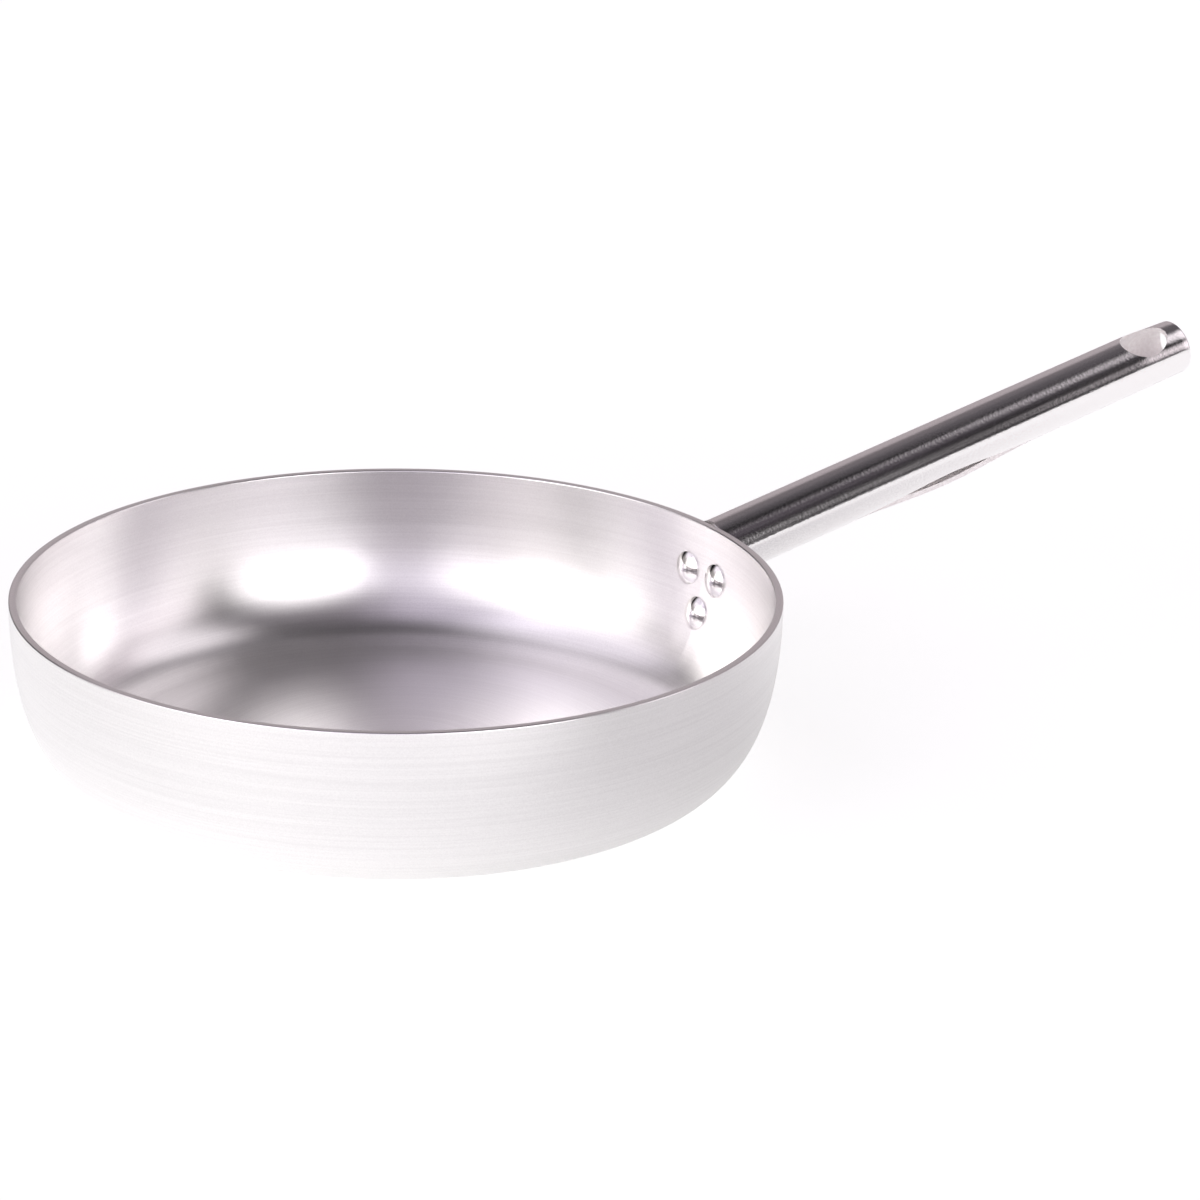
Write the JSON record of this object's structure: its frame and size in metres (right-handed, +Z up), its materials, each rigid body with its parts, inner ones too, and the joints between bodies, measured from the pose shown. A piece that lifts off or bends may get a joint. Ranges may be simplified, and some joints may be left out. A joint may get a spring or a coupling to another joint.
{
  "type": "omelette pan",
  "caption": "Round omelette pan of thick pressed metal with a rolled tubular handle riveted to its wall, a slot low on the handle's side and a hanging hole near the tip.",
  "frame": {"origin": "centre of the flat underside of the base, on the plane the pan stands on", "axes": "+Z up through the centre of the pan, +X from the centre of the pan towards the handle, +Y to the left when looking out along the handle"},
  "size_m": [0.5078, 0.28, 0.1097],
  "materials": {
    "body_aluminium": "satin, turned grain",
    "handle_steel": "satin, fine grain along the tube",
    "rivet_aluminium": "polished"
  },
  "bodies": {
    "root": {"pan_body": "body_aluminium", "handle": "handle_steel", "rivet_left": "rivet_aluminium", "rivet_right": "rivet_aluminium", "rivet_lower": "rivet_aluminium"}
  },
  "joints": []
}
